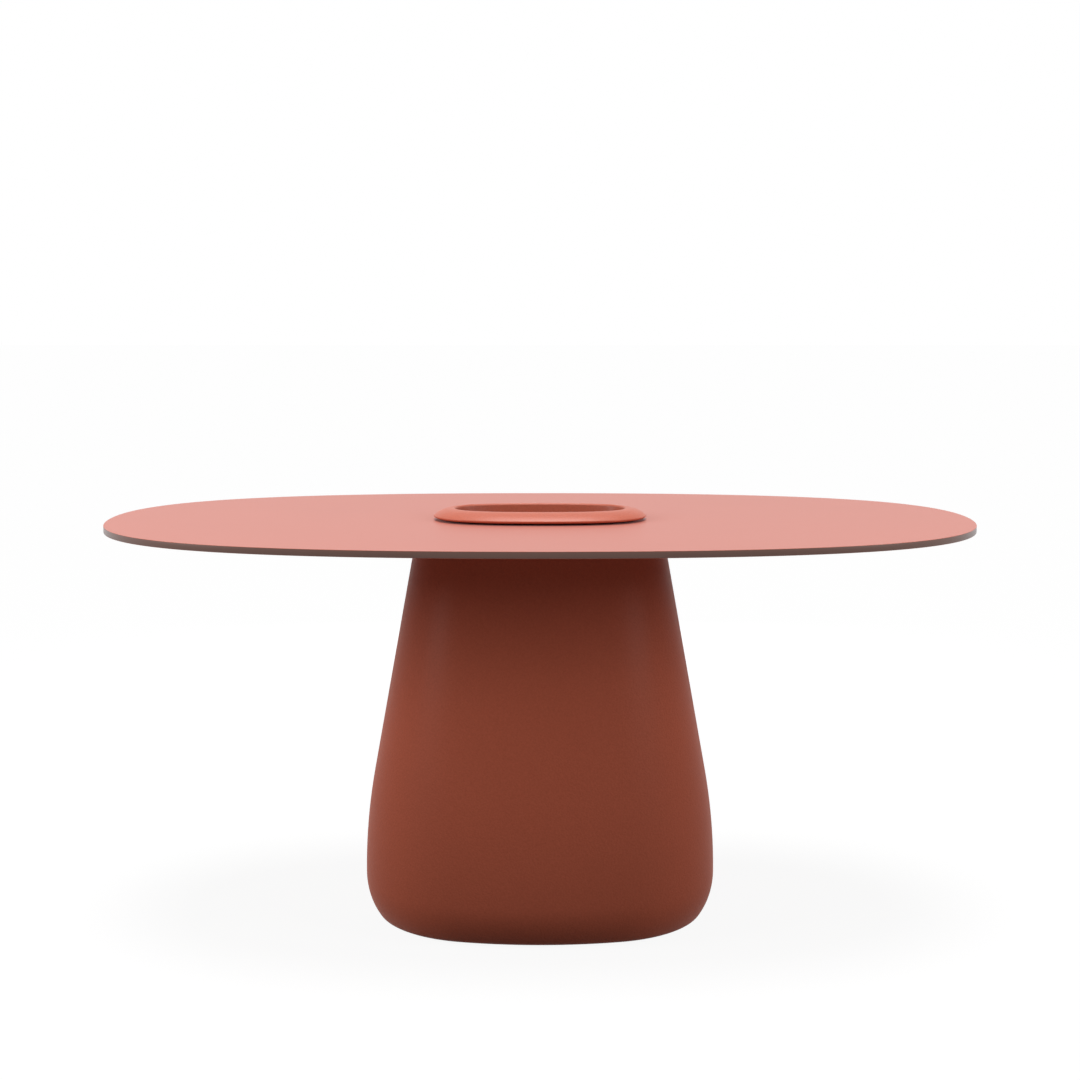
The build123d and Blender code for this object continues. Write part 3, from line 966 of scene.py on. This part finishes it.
def moulded_plastic(name, roughness, gloss, skin):
    """Terracotta plastic with a middle roughness, a strength of reflection and a weight of clear skin."""
    material, shader, place = new_finish(name)
    cloud = noise(place, CLOUDS_PER_METRE, detail=3.0)
    peel = noise(place, DIMPLES_PER_METRE)
    grain = noise(place, GRAINS_PER_METRE)
    # Both noises have a middle of 0.5, and the offset brings their weighted sum back to it.
    # The dimple noise also darkens the colour where the skin dips in, painted shade that deepens the bump's
    # own shading in each hollow.
    tone = CLOUD_TONE * cloud + PAINTED_DIMPLE_SHADE * peel - TONE_OFFSET
    feed(mixed(tone, TERRACOTTA_DEEP, TERRACOTTA), shader.inputs["Base Color"])
    feed(roughness - ROUGHNESS_SPREAD / 2 + ROUGHNESS_SPREAD * cloud, shader.inputs["Roughness"])
    height = peel * DIMPLE_DEPTH + grain * GRAIN_DEPTH
    bump = place.node("ShaderNodeBump", {}, {"Distance": 1.0, "Height": height})
    feed(bump, shader.inputs["Normal"])
    shader.inputs["Specular IOR Level"].default_value = gloss
    shader.inputs["Coat Weight"].default_value = skin
    shader.inputs["Coat Roughness"].default_value = SKIN_ROUGHNESS
    return material


pedestal_finish = moulded_plastic("pedestal_plastic", roughness=0.62, gloss=0.06, skin=0.12)
bucket_finish = moulded_plastic("bucket_plastic", roughness=0.42, gloss=0.4, skin=0.0)
pedestal.data.materials.append(pedestal_finish)
bucket.data.materials.append(bucket_finish)
print("moulded finishes:", pedestal_finish.name, bucket_finish.name)

# %% [markdown]
# ## Solid laminate
# The sheet is layers of dark paper pressed between coloured faces. From the side the core shows as a brown
# band, with the face colour only in the top and bottom fraction of a millimetre. The height above the floor
# tells the two apart, so one material paints the whole sheet. The cut core is polished smoother than the
# faces, and a pale sheen lifts the colour where the sheet is seen at a low angle.

# %% Laminate
LAMINATE_CORE = (0.17, 0.078, 0.055)
FACE_SHEET = 0.5 * MM
FACE_CLOUDS_PER_METRE = 5
FACE_CLOUD_SPREAD = 0.28
FACE_GRAINS_PER_METRE = 1400
FACE_GRAIN_DEPTH = 0.03 * MM
FACE_GRAIN_STRENGTH = 0.4
FACE_ROUGHNESS = 0.40
FACE_ROUGHNESS_SPREAD = 0.06
CORE_POLISH = 0.12
SHEEN_WEIGHT = 0.17
SHEEN_ROUGHNESS = 0.5
SHEEN_TINT = (0.9, 0.9, 1.0, 1)

laminate, shader, place = new_finish("solid_laminate")
height_above_floor = place.node("ShaderNodeSeparateXYZ", {}, {"Vector": place}, output="Z")
above_lower_face = height_above_floor > TOP_UNDERSIDE + FACE_SHEET
in_upper_face = height_above_floor > TABLE_HEIGHT - FACE_SHEET
core = above_lower_face - in_upper_face
cloud = noise(place, FACE_CLOUDS_PER_METRE)
grain = noise(place, FACE_GRAINS_PER_METRE, detail=1.0)
tone = (1 - FACE_CLOUD_SPREAD) / 2 + FACE_CLOUD_SPREAD * cloud
face_colour = mixed(tone, TERRACOTTA_DEEP, TERRACOTTA)
feed(mixed(core, face_colour, LAMINATE_CORE), shader.inputs["Base Color"])
feed(FACE_ROUGHNESS + FACE_ROUGHNESS_SPREAD * grain - CORE_POLISH * core, shader.inputs["Roughness"])
height = grain * FACE_GRAIN_DEPTH
bump_sockets = {"Strength": FACE_GRAIN_STRENGTH, "Distance": 1.0, "Height": height}
feed(place.node("ShaderNodeBump", {}, bump_sockets), shader.inputs["Normal"])
shader.inputs["Sheen Weight"].default_value = SHEEN_WEIGHT
shader.inputs["Sheen Roughness"].default_value = SHEEN_ROUGHNESS
shader.inputs["Sheen Tint"].default_value = SHEEN_TINT
table_top.data.materials.append(laminate)
print("laminate on", table_top.name)

# %% [markdown]
# ## Rubber, nylon and powder coat
# Three dull dark finishes differ mostly in their grain. Rubber is almost smooth and has a dusty bloom, nylon
# keeps the fine spark texture of its mould, and powder coat flows out into the soft bumps known as orange
# peel. One function takes the size and depth of the grain and gives each its own.

# %% Dark finishes
DUST_PER_METRE = 30
DUST_SPREAD = 0.1
GRAIN_STRENGTH = 0.5


def dull_finish(name, colour, bloom, roughness, grain_size, grain_depth):
    """A dark finish that dust makes paler and rougher in places, over a grain of its own size and depth."""
    material, shader, place = new_finish(name)
    dust = noise(place, DUST_PER_METRE, detail=4.0)
    grain = noise(place, 1 / grain_size)
    feed(mixed(dust, colour, bloom), shader.inputs["Base Color"])
    feed(roughness - DUST_SPREAD / 2 + DUST_SPREAD * dust, shader.inputs["Roughness"])
    bump_sockets = {"Strength": GRAIN_STRENGTH, "Distance": 1.0, "Height": grain * grain_depth}
    feed(place.node("ShaderNodeBump", {}, bump_sockets), shader.inputs["Normal"])
    return material


rubber = dull_finish(
    "gasket_rubber",
    colour=(0.012, 0.012, 0.012),
    bloom=(0.03, 0.029, 0.028),
    roughness=0.8,
    grain_size=0.6 * MM,
    grain_depth=0.02 * MM,
)
nylon = dull_finish(
    "shoe_nylon",
    colour=(0.02, 0.02, 0.021),
    bloom=(0.035, 0.035, 0.036),
    roughness=0.55,
    grain_size=0.8 * MM,
    grain_depth=0.05 * MM,
)
powder_coat = dull_finish(
    "powder_coat",
    colour=(0.022, 0.022, 0.024),
    bloom=(0.03, 0.03, 0.032),
    roughness=0.5,
    grain_size=1.6 * MM,
    grain_depth=0.12 * MM,
)
gasket.data.materials.append(rubber)
ballast.data.materials.append(powder_coat)
for shoe in pads:
    shoe.data.materials.append(nylon)
print("dark finishes:", rubber.name, nylon.name, powder_coat.name)

# %% [markdown]
# ## Zinc and brass
# Plated steel is a metal with no paint, so its colour is its reflection. Zinc grows as small crystals, so its
# gloss falls off a little from the middle of each cell of a Voronoi pattern to the cell's edge. Brass for
# nuts is drawn bar, which shows a soft streak along the bar instead, made by stretching a noise upwards.

# %% Metals
ZINC_DARK = (0.5, 0.51, 0.53)
ZINC_BRIGHT = (0.66, 0.67, 0.68)
ZINC_ROUGHNESS = 0.28
CRYSTAL_SPREAD = 0.14
STAIN_SPREAD = 0.08
STAINS_PER_METRE = 70
BRASS_DARK = (0.6, 0.4, 0.15)
BRASS_BRIGHT = (0.75, 0.53, 0.24)
BRASS_ROUGHNESS = 0.25
STREAK_SPREAD = 0.2
STREAKS_PER_METRE = 900
STREAK_SQUEEZE = 0.05


def plated_steel(name, crystal_size):
    """Zinc-plated steel with crystals of one size."""
    material, shader, place = new_finish(name)
    sockets = {"Vector": place, "Scale": 1 / crystal_size}
    cell = place.node("ShaderNodeTexVoronoi", {"feature": "F1"}, sockets)
    stain = noise(place, STAINS_PER_METRE, detail=3.0)
    feed(mixed(stain, ZINC_DARK, ZINC_BRIGHT), shader.inputs["Base Color"])
    feed(ZINC_ROUGHNESS + CRYSTAL_SPREAD * cell + STAIN_SPREAD * stain, shader.inputs["Roughness"])
    shader.inputs["Metallic"].default_value = 1.0
    return material


def drawn_brass(name):
    """Brass with streaks that run upwards."""
    material, shader, place = new_finish(name)
    stretched = place.node("ShaderNodeMapping", {}, {"Vector": place, "Scale": (1, 1, STREAK_SQUEEZE)})
    streak = noise(stretched, STREAKS_PER_METRE, detail=3.0)
    feed(mixed(streak, BRASS_DARK, BRASS_BRIGHT), shader.inputs["Base Color"])
    feed(BRASS_ROUGHNESS + STREAK_SPREAD * streak, shader.inputs["Roughness"])
    shader.inputs["Metallic"].default_value = 1.0
    return material


bar_zinc = plated_steel("bar_zinc", crystal_size=3 * MM)
bolt_zinc = plated_steel("bolt_zinc", crystal_size=1.2 * MM)
for bar in clamps.values():
    bar.data.materials.append(bar_zinc)
screws = [top_bolts, plate_bolts, *stems]
for screw in screws:
    screw.data.materials.append(bolt_zinc)
nuts = frame["nodes"]["plate_inserts"]
nuts.material_slots[0].material = drawn_brass("drawn_brass")
print("zinc on", len(clamps) + len(screws), "pieces, brass on", nuts.name)

# %% [markdown]
# ## Floor and light
# The light comes mostly from above. One lamp is bright overhead, two weaker ones stand at the sides, and a
# small one behind, too low to shine on the top, shows the pedestal's back. A white background would flood the
# object with light from all round. So, through the Light Path node, it is white only to the camera and to
# reflections, and shows in every grazing one. The floor does the same, and keeps a part of its own shading
# for the soft shadow.

# %% Floor, lamps and world
WHITE = (1, 1, 1, 1)
FLOOR_SIZE = 60
FLOOR_SHADE = (0.14, 0.14, 0.14, 1)
FLOOR_PAPER = (0.9, 0.9, 0.9, 1)
FLOOR_GLOW = 0.92
FILL_LIGHT = 0.06
OVERHEAD_PLACE = (0, 0, 4)
OVERHEAD_LIGHT = 0.92
OVERHEAD_SPREAD = 24
SIDE_LAMP_SIZE = 1.5
BACK_LAMP_SIZE = 0.6
LAMP_TARGET = Vector((0, 0, 0.4))


def empty_tree(owner):
    """The node tree of a material or a world, without the nodes that it starts with."""
    owner.use_nodes = True
    owner.node_tree.nodes.clear()
    return owner.node_tree


def seen_or_mirrored(tree):
    """1 for rays from the camera and for reflections, and 0 for all other light."""
    rays = tree.nodes.new("ShaderNodeLightPath")
    seen = Socket(tree, rays.outputs["Is Camera Ray"])
    mirrored = Socket(tree, rays.outputs["Is Glossy Ray"])
    return seen.maths("MAXIMUM", seen, mirrored)


bpy.ops.object.select_all(action="DESELECT")
bpy.ops.mesh.primitive_plane_add(size=FLOOR_SIZE)
floor = bpy.context.object
floor.name = "studio_floor"

floor_finish = bpy.data.materials.new("floor_white")
tree = empty_tree(floor_finish)
seen = seen_or_mirrored(tree)
matt = seen.node("ShaderNodeBsdfDiffuse", {}, {"Color": FLOOR_SHADE})
paper = seen.node("ShaderNodeBsdfDiffuse", {}, {"Color": FLOOR_PAPER})
glow = seen.node("ShaderNodeEmission", {}, {"Color": WHITE, "Strength": 1.0})
lit_paper = seen.node("ShaderNodeMixShader", {}, {0: FLOOR_GLOW, 1: paper, 2: glow})
surface = seen.node("ShaderNodeMixShader", {}, {0: seen, 1: matt, 2: lit_paper})
output = tree.nodes.new("ShaderNodeOutputMaterial")
feed(surface, output.inputs["Surface"])
floor.data.materials.append(floor_finish)

world = bpy.data.worlds.new("studio")
bpy.context.scene.world = world
tree = empty_tree(world)
seen = seen_or_mirrored(tree)
fill = seen.node("ShaderNodeBackground", {}, {"Color": WHITE, "Strength": FILL_LIGHT})
glow = seen.node("ShaderNodeBackground", {}, {"Color": WHITE, "Strength": 1.0})
surface = seen.node("ShaderNodeMixShader", {}, {0: seen, 1: fill, 2: glow})
output = tree.nodes.new("ShaderNodeOutputWorld")
feed(surface, output.inputs["Surface"])


def soft_lamp(name, place, size, power):
    """A square lamp that points at the middle of the pedestal."""
    way = LAMP_TARGET - Vector(place)
    turn = way.to_track_quat("-Z", "Y").to_euler()
    bpy.ops.object.light_add(type="AREA", location=place, rotation=turn)
    lamp = bpy.context.object
    lamp.name = name
    lamp.data.size = size
    lamp.data.energy = power


bpy.ops.object.light_add(type="SUN", location=OVERHEAD_PLACE)
overhead = bpy.context.object
overhead.name = "overhead_lamp"
overhead.data.angle = math.radians(OVERHEAD_SPREAD)
overhead.data.energy = OVERHEAD_LIGHT * math.pi
soft_lamp("left_lamp", place=(-3.0, -1.25, 1.9), size=SIDE_LAMP_SIZE, power=49)
soft_lamp("right_lamp", place=(2.8, -1.6, 1.9), size=SIDE_LAMP_SIZE, power=38)
soft_lamp("back_lamp", place=(0, 3.2, 0.36), size=BACK_LAMP_SIZE, power=24)
bpy.context.scene.view_settings.view_transform = "Standard"
print("floor, world and lamps ready")

# %% [markdown]
# ## Hand over to the frame
# Every piece rides on the body it belongs to, so it moves with the table's own joints, and the solid it
# stands for is hidden.

# %% Ride and hide the solids
handed_over = [
    (table_top, "table", "tabletop", "laminate"),
    (pedestal, "table", "base_shell", "moulded_shell"),
    (bucket, "bucket", "ice_bucket", "moulded_bucket"),
    (gasket, "bucket", "collar_gasket", "rubber"),
    (top_bolts, "table", "top_bolts", "bolt_steel"),
    (plate_bolts, "table", "plate_bolts", "bolt_steel"),
    (ballast, "table", "ballast_plate", "plate_steel"),
]
for node, bar in clamps.items():
    handed_over.append((bar, "table", node, "clamp_steel"))
for number, shoe, screw in zip(FEET, pads, stems):
    handed_over.append((shoe, f"pad_{number}", f"foot_pad_{number}", "nylon"))
    handed_over.append((screw, f"stem_{number}", f"foot_stem_{number}", "stem_steel"))
for piece, body, node, slot in handed_over:
    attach(piece, body)
    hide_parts(node)
print("pieces handed over:", len(handed_over))
